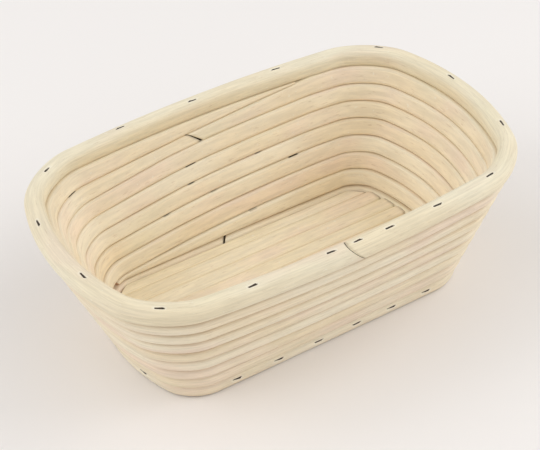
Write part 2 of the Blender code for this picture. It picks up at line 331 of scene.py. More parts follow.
# %% [markdown]
# ## A path that a cane can follow
#
# Geometry Nodes will sweep the canes. A path is a row of points joined by edges, and each point carries
# two vectors: how far the cane reaches sideways there, and how far upwards. A slanted cut is two such
# vectors that also lean along the path. So one small tree can make a round ring, a thinning wedge and a
# rod with cut ends.

# %% Path builder
SLANT_REACH = 0.012
ARRIS = 0.0004
ARRIS_SHRINK = 0.93


def store_vectors(mesh, title, vectors):
    """Gives each point of a mesh a vector of its own."""
    attribute = mesh.attributes.new(title, "FLOAT_VECTOR", "POINT")
    attribute.data.foreach_set("vector", [value for vector in vectors for value in vector])


def lay_path(name, centres, leans, half_widths, half_heights, slants, cuts,
             slant_reach=SLANT_REACH, arris=ARRIS):
    """A path object. Slants give, at its start and end, the lean along the path per unit across and up.

    Cuts say how dark the edge of each end is painted, as shade of the gap where it meets a cane.
    """
    lengths = [0.0]
    for start, end in zip(centres, centres[1:]):
        lengths.append(lengths[-1] + (end - start).length)
    across, upward = [], []
    for number in range(len(centres)):
        ahead = centres[min(number + 1, len(centres) - 1)] - centres[max(number - 1, 0)]
        travel = Vector((ahead.x, ahead.y, 0)).normalized()
        out = Vector((-travel.y, travel.x, 0))
        wide = out * math.cos(leans[number]) - UP * math.sin(leans[number])
        tall = out * math.sin(leans[number]) + UP * math.cos(leans[number])
        from_start = max(1 - lengths[number] / slant_reach, 0)
        from_end = max(1 - (lengths[-1] - lengths[number]) / slant_reach, 0)
        lean_wide = slants[0][0] * from_start + slants[1][0] * from_end
        lean_tall = slants[0][1] * from_start + slants[1][1] * from_end
        across.append((wide + travel * lean_wide) * half_widths[number])
        upward.append((tall + travel * lean_tall) * half_heights[number])
    # The cut ends get a softened edge: the last ring shrinks, a hair beyond a full one.
    points = list(centres)
    for end, inside in ((0, 1), (len(points) - 1, len(points) - 2)):
        step = (points[inside] - points[end]).normalized() * arris
        place = 1 if end == 0 else len(points) - 1
        points.insert(place, points[end] + step)
        lengths.insert(place, lengths[end] + (arris if end == 0 else -arris))
        across.insert(place, across[end].copy())
        upward.insert(place, upward[end].copy())
        last = 0 if end == 0 else len(points) - 1
        across[last] = across[last] * ARRIS_SHRINK
        upward[last] = upward[last] * ARRIS_SHRINK
    mesh = bpy.data.meshes.new(name + "_path")
    mesh.from_pydata(points, [(n, n + 1) for n in range(len(points) - 1)], [])
    for title, vectors in (("centre", points), ("across", across), ("upward", upward)):
        store_vectors(mesh, title, vectors)
    cut = [cuts[0]] + [0.0] * (len(points) - 2) + [cuts[1]]
    for title, values in (("along", lengths), ("cut", cut)):
        mesh.attributes.new(title, "FLOAT", "POINT").data.foreach_set("value", values)
    return add_object(name + "_path", mesh)


# %% [markdown]
# ## The tree that lays a cane on a path
#
# The tree sweeps a circle along the path and then puts every point where the path's two vectors say. A
# power of the sine and cosine squares the section, because canes that are wound wet and tight round a
# mould go flat. The side that faces out stays rounder. Slow noise makes it lumpy. Near a staple in its
# face the cane is pressed in, and a "bruise" is stored there for the finish to darken, as stain and as
# painted shade in the dent. Near a staple in its seam only a "stroke" is stored, measured from the line
# where two canes touch, for the finish to paint as the shade of an opened seam. A cane with no staples
# of its own is given a set that lies far from it, because the tree needs some to measure from.
# "cane_place" stores where a point is along and round the cane, so that the grain can follow it, and
# "seam" stores how close it is to its neighbour, for the finish to paint as stain and as shade between
# the canes. The walls lean out, so on the outside a row's top edge lies in the shade of the row above,
# and its seam is wider, which puts more painted shade there.

# %% Cane tree
NOMINAL_RADIUS = 0.005
# Between which heights a cane's round turns into its seam, and how much lower these are on the outside
SEAM_BEGINS = 0.86
SEAM_ENDS = 1.0
BEGINS_LOWER = 0.30
ENDS_LOWER = 0.12


def make_cane_tree():
    inputs = (
        ("Path", "Geometry", None),
        ("Sides", "Int", 28),
        ("Squareness", "Float", 2.2),
        ("Outside Squareness", "Float", 2.2),
        ("Lumps", "Float", 0.02),
        ("Lump Length", "Float", 0.03),
        ("Cane Offset", "Float", 0.0),
        ("Pressed By", "Object", None),
        ("Press Depth", "Float", 0.0003),
        ("Press Reach", "Float", 0.0016),
        ("Seam Strokes", "Object", None),
        ("Stroke Fade", "Float", 0.0022),
        ("Seam Above", "Float", 1.0),
        ("Seam Below", "Float", 1.0),
        ("Seam Inside", "Float", 0.0),
        ("Seam Outside", "Float", 0.0),
        ("Finish", "Material", None),
    )
    outputs = (("Cane", "Geometry"),)
    tree, given, result = start_tree("cane_along_a_path", "GeometryNodeTree", inputs, outputs)
    centre = add_stored(tree, "centre", "FLOAT_VECTOR")
    across = add_stored(tree, "across", "FLOAT_VECTOR")
    upward = add_stored(tree, "upward", "FLOAT_VECTOR")

    circle = add_node(tree, "GeometryNodeCurvePrimitiveCircle", {"Resolution": given["Sides"]})[0]
    share = add_node(tree, "GeometryNodeSplineParameter")["Factor"]
    inputs = {"Geometry": circle, "Name": "turn", "Value": share}
    profile = add_node(tree, "GeometryNodeStoreNamedAttribute", inputs)[0]
    curve = add_node(tree, "GeometryNodeMeshToCurve", {"Mesh": given["Path"]})[0]
    inputs = {"Curve": curve, "Profile Curve": profile, "Fill Caps": True}
    swept = add_node(tree, "GeometryNodeCurveToMesh", inputs)[0]

    angle = product(tree, add_stored(tree, "turn", "FLOAT"), math.tau)
    plain = [add_math(tree, operation, angle) for operation in ("COSINE", "SINE")]
    outer = add_math(tree, "GREATER_THAN", plain[0], 0.0)
    inputs = {"Factor": outer, "A": given["Squareness"], "B": given["Outside Squareness"]}
    squareness = add_node(tree, "ShaderNodeMix", inputs)["Result"]
    power = add_math(tree, "DIVIDE", 2.0, squareness)
    squared = []
    for value in plain:
        size = add_math(tree, "POWER", add_math(tree, "ABSOLUTE", value), power)
        squared.append(product(tree, size, add_math(tree, "SIGN", value)))

    sideways = add_scaled(tree, across, squared[0])
    spoke = add_vector_math(tree, "ADD", sideways, add_scaled(tree, upward, squared[1]))

    along = add_math(tree, "ADD", add_stored(tree, "along", "FLOAT"), given["Cane Offset"])
    inputs = {"X": add_math(tree, "DIVIDE", along, given["Lump Length"]), "Y": plain[0], "Z": plain[1]}
    lump_place = add_node(tree, "ShaderNodeCombineXYZ", inputs)[0]
    lump = add_node(tree, "ShaderNodeTexNoise", {"Vector": lump_place, "Scale": 1.0, "Detail": 1.0})[0]
    swing = product(tree, add_math(tree, "SUBTRACT", lump, 0.5), 2.0, given["Lumps"])
    grown = add_math(tree, "ADD", swing, 1.0)
    surface = add_vector_math(tree, "ADD", centre, add_scaled(tree, spoke, grown))

    def closeness(title, position, reach):
        strokes = add_node(tree, "GeometryNodeObjectInfo", {"Object": given[title]})["Geometry"]
        inputs = {"Geometry": strokes, "Sample Position": position}
        nearest = add_node(tree, "GeometryNodeProximity", inputs, target_element="EDGES")
        return add_ramp(tree, nearest["Distance"], 0.0, reach, 1.0, 0.0)

    bruise = closeness("Pressed By", surface, given["Press Reach"])
    to_touch = add_scaled(tree, upward, add_math(tree, "SIGN", plain[1]))
    stroke = closeness("Seam Strokes", add_vector_math(tree, "ADD", centre, to_touch), given["Stroke Fade"])
    depth = product(tree, bruise, given["Press Depth"], -1.0)
    dent = add_scaled(tree, add_vector_math(tree, "NORMALIZE", spoke), depth)
    placed = add_vector_math(tree, "ADD", surface, dent)
    shape = add_node(tree, "GeometryNodeSetPosition", {"Geometry": swept, "Position": placed})[0]

    seams = ((plain[1], 1, "Seam Above"), (plain[1], -1, "Seam Below"))
    seams += ((plain[0], -1, "Seam Inside"), (plain[0], 1, "Seam Outside"))
    begins = add_math(tree, "SUBTRACT", SEAM_BEGINS, product(tree, outer, BEGINS_LOWER))
    ends = add_math(tree, "SUBTRACT", SEAM_ENDS, product(tree, outer, ENDS_LOWER))
    seam = 0.0
    for value, sign, title in seams:
        close = add_ramp(tree, product(tree, value, sign), begins, ends)
        seam = add_math(tree, "ADD", seam, product(tree, close, given[title]))
    reach, rise = (product(tree, value, NOMINAL_RADIUS) for value in plain)
    cane_place = add_node(tree, "ShaderNodeCombineXYZ", {"X": along, "Y": reach, "Z": rise})[0]
    numbers = [("bruise", "FLOAT", bruise), ("stroke", "FLOAT", stroke), ("seam", "FLOAT", seam)]
    for title, kind, value in [*numbers, ("cane_place", "FLOAT_VECTOR", cane_place)]:
        inputs = {"Geometry": shape, "Name": title, "Value": value}
        shape = add_node(tree, "GeometryNodeStoreNamedAttribute", inputs, data_type=kind)[0]
    inputs = {"Geometry": shape, "Material": given["Finish"]}
    fill(tree, result, {"Cane": add_node(tree, "GeometryNodeSetMaterial", inputs)[0]})
    return tree


cane_tree = make_cane_tree()
print("cane tree nodes:", len(cane_tree.nodes))

# %% [markdown]
# A tree's result only exists while its modifier is there. So each piece is read back as a plain mesh, the
# path and its modifier are thrown away, and the numbers that only the tree needed go too. The flat faces
# at the ends have more sides than any other face, which is how they are found and given the end grain.

# %% From tree to plain piece
SHARP = math.radians(50)


def grow(name, carrier, tree, inputs):
    """Runs a tree on a carrier object and gives back its result as a plain mesh object."""
    modifier = carrier.modifiers.new("tree", "NODES")
    modifier.node_group = tree
    for item in tree.interface.items_tree:
        if item.in_out == "INPUT" and item.name in inputs:
            modifier[item.identifier] = inputs[item.name]
    evaluated = carrier.evaluated_get(bpy.context.evaluated_depsgraph_get())
    mesh = bpy.data.meshes.new_from_object(evaluated)
    carrier.modifiers.remove(modifier)
    bpy.data.objects.remove(carrier)
    mesh.name = name
    return add_object(name, mesh)


def outward(mesh):
    """True if a closed mesh's faces point outwards: its signed volume is then above zero."""
    volume = 0.0
    for face in mesh.polygons:
        corners = [mesh.vertices[n].co for n in face.vertices]
        for second, third in zip(corners[1:], corners[2:]):
            volume += corners[0].dot(second.cross(third))
    return volume > 0


def smooth(mesh):
    """Turns a closed mesh's faces outwards and shades it smooth, apart from its sharp edges."""
    if not outward(mesh):
        mesh.flip_normals()
    mesh.shade_smooth()
    mesh.set_sharp_from_angle(angle=SHARP)


def lay_cane(name, path, end_finishes, nodes, inputs):
    """A finished cane in place of some of the solids, with a finish for each of its two ends."""
    first = path.data.vertices[0].co.copy()
    piece = grow(name, path, cane_tree, inputs)
    mesh = piece.data
    for title in ("centre", "across", "upward", "along", "turn"):
        mesh.attributes.remove(mesh.attributes[title])
    for finish in end_finishes:
        mesh.materials.append(finish)
    caps = [face for face in mesh.polygons if len(face.vertices) > 4]
    caps.sort(key=lambda face: (face.center - first).length)
    for number, cap in enumerate(caps, 1):
        cap.material_index = number
    smooth(mesh)
    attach(piece, "root")
    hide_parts(*nodes)
    print(name, "triangles:", sum(len(face.vertices) - 2 for face in mesh.polygons))


# %% [markdown]
# ## Cane grain and tint
#
# Peeled rattan is a bundle of long fibres with fine pores between them. Its colour drifts along the cane,
# from cream to straw, with pinkish and greenish lengths. The seams are painted browner: partly the stain
# of flour and damp, partly painted shade between the canes. Each effect is a shader group, placed in every
# cane finish with its own values. All read "cane_place", so the grain runs along each cane whatever way it
# bends.


# %% Shader helpers
def start_finish(name):
    """A new material, its node tree and its shader."""
    material = bpy.data.materials.new(name)
    material.use_nodes = True
    return material, material.node_tree, material.node_tree.nodes["Principled BSDF"]


def add_noise(tree, place, scales, detail, roughness=0.5, shift=0.0):
    """Noise whose grain has its own size along each of the three directions."""
    inputs = {"Vector": place, "Scale": scales, "Location": (shift, shift, shift)}
    mapped = add_node(tree, "ShaderNodeMapping", inputs)[0]
    inputs = {"Vector": mapped, "Scale": 1.0, "Detail": detail, "Roughness": roughness}
    return add_node(tree, "ShaderNodeTexNoise", inputs)[0]


def mix_colour(tree, factor, first, second, blend="MIX"):
    """Mixes two colours by a factor."""
    inputs = {0: factor, 6: first, 7: second}
    return add_node(tree, "ShaderNodeMix", inputs, data_type="RGBA", blend_type=blend)[2]


def add_bump(tree, height, strength, distance=0.0002, **options):
    """The normal of a surface that a height raises, by a fifth of a millimetre at most."""
    inputs = {"Height": height, "Strength": strength, "Distance": distance}
    return add_node(tree, "ShaderNodeBump", inputs, **options)[0]


# %% Tint that drifts along the cane
def make_tint_group():
    colours = [(title, "Color", None) for title in ("Cream", "Straw", "Blush", "Moss")]
    inputs = [("Cane Place", "Vector", None), *colours]
    outputs = [("Tint", "Color")]
    group, given, result = start_tree("cane_tint", "ShaderNodeTree", inputs, outputs)
    tint = given["Cream"]
    patches = (("Straw", (11, 40, 40), 2.0, 0.0, 0.36, 0.66), ("Blush", (17, 60, 60), 2.0, 7.3, 0.48, 0.70),
               ("Moss", (14, 50, 50), 1.0, 31.7, 0.60, 0.80))
    for title, scales, detail, shift, low, high in patches:
        noise = add_noise(group, given["Cane Place"], scales, detail, shift=shift)
        tint = mix_colour(group, add_ramp(group, noise, low, high), tint, given[title])
    fill(group, result, {"Tint": tint})
    return group


tint_group = make_tint_group()


# %% Long fibres and pores
def make_grain_group():
    inputs = [("Cane Place", "Vector", None)]
    outputs = [(title, "Float") for title in ("Fibres", "Pores", "Flecks", "Height")]
    group, given, result = start_tree("cane_grain", "ShaderNodeTree", inputs, outputs)
    place = given["Cane Place"]
    fibres = add_noise(group, place, (55, 1100, 1100), 4.0, 0.62)
    pores = add_ramp(group, add_noise(group, place, (170, 3400, 3400), 2.0, 0.5, 3.1), 0.62, 0.74)
    flecks = add_ramp(group, add_noise(group, place, (420, 900, 900), 2.0, 0.6, 11.9), 0.66, 0.76)
    raised = add_math(group, "ADD", fibres, product(group, flecks, 0.35))
    height = add_math(group, "SUBTRACT", raised, product(group, pores, 0.45))
    fill(group, result, {"Fibres": fibres, "Pores": pores, "Flecks": flecks, "Height": height})
    return group


grain_group = make_grain_group()


# %% Painted shade and stain in seams and round staples
def make_stain_and_shade_group():
    masks = ("Seam", "Bruise", "Stroke", "Cut")
    inputs = [("Cane Place", "Vector", None)]
    inputs += [(title, "Float", 0.0) for title in masks]
    outputs = [(title, "Float") for title in ("Stain And Shade", "Black", "Halo")]
    group, given, result = start_tree("seam_stain_and_shade", "ShaderNodeTree", inputs, outputs)
    place = given["Cane Place"]
    # The seam mask is painted brown: partly stain, partly painted shade between the canes.
    patchy = add_ramp(group, add_noise(group, place, (60, 300, 300), 3.0, 0.6, 5.5), 0.25, 0.75, 0.45, 1.0)
    round_place = add_node(group, "ShaderNodeSeparateXYZ", {0: place})
    # On the outer side it is painted up to 2.6 times as strong: painted shade under the row above.
    outside = add_ramp(group, round_place["Y"], 0.0, 0.4 * NOMINAL_RADIUS, 1.0, 2.6)
    stain_and_shade = product(group, given["Seam"], patchy, outside)

    # A stroke is painted shade of a seam opened by a staple, with the dark of the wire in it. It shows only
    # in the seam itself, and only on the inner side of the wall.
    height = add_math(group, "ABSOLUTE", round_place["Z"])
    in_seam = add_ramp(group, height, 0.70 * NOMINAL_RADIUS, 0.90 * NOMINAL_RADIUS)
    inner = add_ramp(group, round_place["Y"], 0.25 * NOMINAL_RADIUS, -0.15 * NOMINAL_RADIUS)
    stroke = product(group, add_ramp(group, given["Stroke"], 0.25, 0.75), in_seam, inner)

    # Round a staple's crown the cane is painted near black: painted shade in the dent, with some stain.
    pressed = add_ramp(group, given["Bruise"], 0.60, 0.92)
    # The edge of a cut end is painted dark as shade of the gap it meets, weaker on the outer side.
    shade_inward = add_ramp(group, round_place["Y"], 0.6 * NOMINAL_RADIUS, -0.1 * NOMINAL_RADIUS, 0.25, 1.0)
    cut = product(group, given["Cut"], shade_inward)
    black = add_math(group, "MAXIMUM", add_math(group, "MAXIMUM", pressed, cut), stroke)
    halo = add_math(group, "SUBTRACT", add_ramp(group, given["Bruise"], 0.03, 0.40), pressed)
    fill(group, result, {"Stain And Shade": stain_and_shade, "Black": black, "Halo": halo})
    return group


stain_and_shade_group = make_stain_and_shade_group()
print("shader groups:", [group.name for group in (tint_group, grain_group, stain_and_shade_group)])


# %% [markdown]
# ## Finishes of the canes
#
# The wall cane, the floor rods and the heavier rim share the groups but not the colours, which differ
# mostly in brightness, and that is painted light: the floor rods, deep in the basket, are painted the
# palest against the shade there, and the rim, which catches the most light, a little darker than the
# walls. Cut ends show the pores end on, so they are pinker and darker. Where two ends butt together,
# almost no light gets in, so their faces are painted nearly black.

# %% Cane finishes
PORE_COLOUR = (0.46, 0.30, 0.17, 1)
FLECK_COLOUR = (0.93, 0.88, 0.76, 1)
HALO_COLOUR = (0.92, 0.86, 0.72, 1)
BLACK_COLOUR = (0.042, 0.023, 0.006, 1)


def cane_finish(name, tints, stain_and_shade_colour, stain_and_shade_strength, bump):
    material, tree, shader = start_finish(name)
    inputs = {"Cane Place": add_node(tree, "ShaderNodeAttribute", attribute_name="cane_place")["Vector"]}
    colours = {title: (*tint, 1) for title, tint in zip(("Cream", "Straw", "Blush", "Moss"), tints)}
    masks = {title.title(): add_node(tree, "ShaderNodeAttribute", attribute_name=title)["Fac"]
             for title in ("seam", "bruise", "stroke", "cut")}
    tint = add_node(tree, "ShaderNodeGroup", node_tree=tint_group, inputs={**inputs, **colours})
    grain = add_node(tree, "ShaderNodeGroup", node_tree=grain_group, inputs=inputs)
    stain_and_shade = add_node(tree, "ShaderNodeGroup", node_tree=stain_and_shade_group, inputs={**inputs, **masks})

    streak = add_ramp(tree, grain["Fibres"], 0.30, 0.72, 0.90, 1.06)
    colour = mix_colour(tree, 1.0, tint["Tint"], streak, "MULTIPLY")
    # The seam and black layers are partly painted shade: brown seams, black at crowns, cut ends and
    # strokes.
    layers = ((grain["Pores"], 0.32, PORE_COLOUR), (grain["Flecks"], 0.45, FLECK_COLOUR),
              (stain_and_shade["Halo"], 0.45, HALO_COLOUR), (stain_and_shade["Stain And Shade"], stain_and_shade_strength, (*stain_and_shade_colour, 1)),
              (stain_and_shade["Black"], 1.0, BLACK_COLOUR))
    for mask, strength, layer in layers:
        colour = mix_colour(tree, product(tree, mask, strength), colour, layer)
    dull = add_ramp(tree, grain["Fibres"], 0.3, 0.7, 0.74, 0.52)
    fill(tree, shader, {"Base Color": colour, "Roughness": dull, "Specular IOR Level": 0.35,
                        "Normal": add_bump(tree, grain["Height"], bump)})
    return material


# Painted light: the floor's tints are paler for the shade deep in the basket, the rim's darker for its
# light.
wall_tints = ((0.90, 0.81, 0.63), (0.87, 0.74, 0.53), (0.88, 0.73, 0.57), (0.85, 0.77, 0.57))
floor_tints = ((0.94, 0.84, 0.64), (0.92, 0.80, 0.57), (0.93, 0.78, 0.60), (0.90, 0.82, 0.60))
rim_tints = ((0.86, 0.79, 0.61), (0.84, 0.73, 0.52), (0.84, 0.72, 0.55), (0.83, 0.75, 0.54))
wall_finish = cane_finish("wall_cane", wall_tints, (0.42, 0.25, 0.11), 0.20, 0.5)
floor_finish = cane_finish("floor_cane", floor_tints, (0.50, 0.32, 0.15), 0.12, 0.5)
rim_finish = cane_finish("rim_cane", rim_tints, (0.48, 0.34, 0.19), 0.45, 0.4)


# %% End grain
def end_finish_of(name, colour, pore_colour, shine):
    material, tree, shader = start_finish(name)
    place = add_node(tree, "ShaderNodeTexCoord")["Object"]
    inputs = {"Vector": place, "Scale": 2600.0, "Randomness": 0.9}
    cells = add_node(tree, "ShaderNodeTexVoronoi", inputs)["Distance"]
    pores = add_ramp(tree, cells, 0.10, 0.34, 1.0, 0.0)
    mixed = mix_colour(tree, product(tree, pores, 0.6), (*colour, 1), (*pore_colour, 1))
    fill(tree, shader, {"Base Color": mixed, "Roughness": 0.85, "Specular IOR Level": shine,
                        "Normal": add_bump(tree, pores, 0.5, invert=True)})
    return material


end_finish = end_finish_of("cane_end_grain", (0.72, 0.47, 0.33), (0.22, 0.11, 0.06), 0.5)
joint_finish = end_finish_of("shut_joint", (0.034, 0.017, 0.004), (0.018, 0.009, 0.002), 0.05)

# %% [markdown]
# ## Staples and where they sit
#
# Each staple is a short length of dark wire with two bent legs. Only its crown shows, pressed into the
# cane. The solids say where each one is: the longest direction of its points is the legs, and the next
# the crown.

# %% Read the staples' places
ANY_WAY = Vector((0.61, 0.53, 0.59))
AXIS_STEPS = 60


def main_axes(points):
    """The directions in which points spread most and second most, found by turning a vector to them."""
    middle = sum(points, Vector()) / len(points)
    spread = Matrix(((0,) * 3,) * 3)
    for point in points:
        arm = point - middle
        for row in range(3):
            for column in range(3):
                spread[row][column] += arm[row] * arm[column]
    axes = []
    for _ in range(2):
        axis = ANY_WAY.copy()
        for _ in range(AXIS_STEPS):
            for other in axes:
                axis -= other * axis.dot(other)
            axis = (spread @ axis).normalized()
        axes.append(axis)
    return middle, axes[0], axes[1]


def staple_seat(node, rough_up):
    """The middle of a staple's crown, the way out of the cane and the way the crown runs."""
    points = [vertex.co.copy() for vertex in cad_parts[node].data.vertices]
    middle, legs, crown = main_axes(points)
    way_out = legs if legs.dot(rough_up) > 0 else -legs
    crown = crown if UP.dot(middle.cross(crown)) > 0 else -crown
    reach = max((point - middle).dot(way_out) for point in points)
    return middle + way_out * reach, way_out, crown


def nodes_named(prefix):
    return sorted(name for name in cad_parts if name.startswith(prefix))


FORWARD = Vector((0, -1, 0))
seats = {}
for prefix in ("rim_staple", "wall_staple", "base_staple", "floor_staple"):
    for node in nodes_named(prefix):
        low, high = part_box(node)
        outside = Vector(((low.x + high.x) / 2, (low.y + high.y) / 2, 0))
        rough_ways = {"rim_staple": UP, "wall_staple": UP, "base_staple": outside, "floor_staple": FORWARD}
        seats[node] = staple_seat(node, rough_ways[prefix])
print("staples found:", len(seats))

# %% [markdown]
# The solid rim has a flat top and the real one is round, so the rim's crowns are moved onto the round
# face. The ring is drawn a little wider than its solid, so that it meets the floor rods, and its crowns
# move out with it.

# %% Crowns on the round canes
RING_FULLER = 0.0004


def on_round_rim(seat, way_out, crown):
    rim_centres = (wall_point(RIM_RISE, number) for number in range(STATIONS))
    centre = min(rim_centres, key=lambda point: (point - seat).length)
    arm = seat - centre
    arm -= crown * arm.dot(crown)
    return seat - arm + arm.normalized() * RIM_CANE / 2, way_out, crown


for node in nodes_named("rim_staple"):
    seats[node] = on_round_rim(*seats[node])
for node in nodes_named("base_staple"):
    seat, way_out, crown = seats[node]
    seats[node] = (seat + way_out * RING_FULLER, way_out, crown)


def lay_strokes(name, strokes):
    """Edges that press into the cane, each from one point to another."""
    mesh = bpy.data.meshes.new(name)
    points = [point for stroke in strokes for point in stroke]
    mesh.from_pydata(points, [(2 * n, 2 * n + 1) for n in range(len(strokes))], [])
    return add_object(name, mesh)


# Where each wall staple has pulled its seam open: how far along from its crown's middle, and how far up.
# Two of them lie almost one above the other, so their solids had to make way for each other.
OPENED = {"wall_staple_1": (0.0013, 0.0011), "wall_staple_2": (0.0008, 0.0007),
          "wall_staple_3": (-0.0036, -0.0003), "wall_staple_4": (-0.0012, -0.0005),
          "wall_staple_5": (0.0, -0.0004), "wall_staple_6": (-0.0010, -0.0004),
          "wall_staple_7": (0.0, 0.0), "wall_staple_8": (0.0, -0.0003)}


def crown_strokes(prefix, start, end):
    """The crowns of a set of staples, as edges between two distances from their middles."""
    strokes = []
    for node in nodes_named(prefix):
        seat, way_out, crown = seats[node]
        along, above = OPENED.get(node, (0.0, 0.0))
        middle = seat + crown * along + way_out * above
        strokes.append((middle + crown * start, middle + crown * end))
    return strokes


rim_press = lay_strokes("rim_press", crown_strokes("rim_staple", -0.0018, 0.0028))
ring_press = lay_strokes("ring_press", crown_strokes("base_staple", -0.0022, 0.0028))

# %% [markdown]
# The wall staples lie inside the seams. From inside the basket each one shows as a dark stroke where it
# has pulled the seam open. The stroke is painted on the cane: painted shade of the opened seam, with the
# dark of the wire in it.

# %% Strokes in the seams
seam_press = lay_strokes("seam_press", crown_strokes("wall_staple", -0.0018, 0.0024))
print("strokes in the seams:", len(seam_press.data.edges))

# %% [markdown]
# ## The coil
#
# The wall is wound from two lengths. The lower one begins in the back left corner and ends in the second
# row from the top, where its slanted end meets the upper one. Their rows touch, so a round cane takes the
# whole row, without the room that the solids keep.

# %% Lay the coil
# Bearings of the cut ends, in degrees from +X towards +Y, and half of the gap where the two lengths meet
COIL_START = 149.0
COIL_JOINT = 100.0
COIL_END = 52.0
COIL_HALF_GAP = 0.0004
# Shares of a row: how far it presses into the next one, and a wedge's least height and width
TOUCH = 1.004
THINNEST = 0.05
NARROWEST = 0.86
# How far a row's section leans with the wall: less at the foot, and more with each turn
FIRST_LEAN = 0.4
LEAN_PER_TURN = 0.15
# The two cut ends that meet: how far each leans along the cane, per unit across and up
END_SLANT = (-0.5, -1.11)
START_SLANT = (-0.5, -1.27)


def coil_run(name, start, end, slants, cuts):
    marks = marks_between(start, end)
    sections = [coil_section(mark) for mark in marks]
    centres = [centre for centre, _ in sections]
    half_heights = [max(thickness, THINNEST) * ROW / 2 * TOUCH for _, thickness in sections]
    fullness = [min(thickness * 2, 1) for _, thickness in sections]
    half_widths = [ROW / 2 * (NARROWEST + (1 - NARROWEST) * full) for full in fullness]
    leans = [LEAN * min(FIRST_LEAN + LEAN_PER_TURN * mark / STATIONS, 1) for mark in marks]
    return lay_path(name, centres, leans, half_widths, half_heights, slants, cuts)


coil_start = index_at(0, COIL_START)
coil_joint = (TURNS - 1) * STATIONS + index_at((TURNS - 1) / TURNS, COIL_JOINT)
coil_end = TURNS * STATIONS + index_at(1, COIL_END)
station_step = (coil_section(coil_joint + 0.5)[0] - coil_section(coil_joint - 0.5)[0]).length
half_gap = COIL_HALF_GAP / station_step
lower_path = coil_run("lower_wall", coil_start, coil_joint - half_gap, ((0, 0), END_SLANT), (0.3, 0.5))
upper_path = coil_run("upper_wall", coil_joint + half_gap, coil_end, (START_SLANT, (0, 0)), (0.5, 0.0))
wall_inputs = {"Sides": 32, "Squareness": 5.5, "Outside Squareness": 2.3, "Lumps": 0.018,
               "Pressed By": rim_press, "Press Depth": 0.0, "Seam Strokes": seam_press,
               "Finish": wall_finish}
lay_cane("lower_wall_cane_round", lower_path, (end_finish, joint_finish), ["lower_wall_cane"],
         {**wall_inputs, "Cane Offset": 11.9})
lay_cane("upper_wall_cane_round", upper_path, (joint_finish, end_finish), ["upper_wall_cane"],
         {**wall_inputs, "Cane Offset": 26.0, "Sides": 36})

# %% [markdown]
# ## Rim and base ring
#
# The rim and the base ring are bent from one length each and butt end to end. The rim rests on the last
# row and the first row rests on the ring, so each is drawn a little taller than its solid, towards its
# neighbour.

# %% Lay the rim and the ring
RIM_JOINT = -90.3
RING_JOINT = 96.2
FINE_STEP = 0.0009


def ring_run(name, rise, joint, gap, slants, half_width, half_height, shift, cut, arris):
    """A level ring, as many short steps long as it needs, open by a gap at its joint."""
    share = rise / RIM_RISE
    start = index_at(share, joint)
    rough = [wall_point(rise, mark) for mark in marks_between(start, start + STATIONS)]
    lengths = [(after - before).length for before, after in zip(rough, rough[1:])]
    count = round((sum(lengths) - gap) / FINE_STEP)
    centres = []
    piece, passed = 0, 0.0
    for number in range(count + 1):
        goal = gap / 2 + (sum(lengths) - gap) * number / count
        while passed + lengths[piece] < goal and piece < len(lengths) - 1:
            passed += lengths[piece]
            piece += 1
        centres.append(rough[piece].lerp(rough[piece + 1], (goal - passed) / lengths[piece]) + shift)
    total = len(centres)
    return lay_path(name, centres, [0] * total, [half_width] * total, [half_height] * total, slants,
                    (cut, cut), arris=arris)


ring_inputs = {"Lumps": 0.012, "Press Depth": 0.0006, "Press Reach": 0.0015}
RIM_DROP = 0.00050
rim_path = ring_run("rim", RIM_RISE, RIM_JOINT, gap=0.0003, slants=((0.12, 0.95), (0.12, 0.95)),
                    half_width=RIM_CANE / 2, half_height=(RIM_CANE + RIM_DROP) / 2,
                    shift=UP * -RIM_DROP / 2, cut=0.4, arris=0.0002)
lay_cane("rim_cane_round", rim_path, (joint_finish, joint_finish), ["rim_cane"],
         {**ring_inputs, "Sides": 44, "Squareness": 2.7, "Outside Squareness": 2.2, "Cane Offset": 20.0,
          "Pressed By": rim_press, "Seam Strokes": ring_press, "Seam Above": 0.0, "Finish": rim_finish})
RING_LIFT = 0.00045
ring_path = ring_run("ring", 0, RING_JOINT, gap=0.0008, slants=((0.80, 0), (0.74, 0)),
                     half_width=CANE / 2 + RING_FULLER, half_height=(CANE + RING_LIFT) / 2,
                     shift=UP * RING_LIFT / 2, cut=1.0, arris=0.0006)
# The ring's seams with the first row and the floor are painted dark: painted shade in that corner, and
# stain.
lay_cane("base_cane_round", ring_path, (joint_finish, joint_finish), ["base_cane"],
         {**ring_inputs, "Sides": 40, "Squareness": 2.9, "Outside Squareness": 2.6, "Cane Offset": 30.0,
          "Pressed By": ring_press, "Seam Strokes": seam_press, "Seam Above": 2.8, "Seam Inside": 1.6,
          "Finish": wall_finish})

# %% [markdown]
# ## Floor rods
#
# Straight rods lie side by side inside the ring. Each is cut roughly to the curve of the ring, so the
# ends of the outer rods are slanted most. The solids give each rod's place and reach.

# %% Lay the floor
# How near to a solid's edge its points are looked for, and how far a rod goes past it, along and across
ROD_EDGE = 0.0004
ROD_REACH = 0.0006
ROD_ROOM = 0.00035
# The cut ends: how dark they are, how far they lean under, and how much squarer than the ring's curve
ROD_CUT = 0.45
UNDERCUT = 0.3
SQUARE_CUT = 0.6
MOST_SQUARE = 0.35
ROD_SLANT_REACH = 0.022
ROD_STEP = 0.0015


def rod_reach(points, y_low, y_high):
    """How far along X a rod's solid reaches on its two edges, near its middle height."""
    edges = []
    for edge in (y_low, y_high):
        near = [point.x for point in points if abs(point.y - edge) < ROD_EDGE]
        edges.append((min(near), max(near)))
    return edges


def end_slant(near, far, width):
    """The slant of a rod's end: that of the ring's curve, turned part of the way towards a square cut."""
    slope = (far - near) / width
    return slope - math.copysign(min(abs(slope) * SQUARE_CUT, MOST_SQUARE), slope)


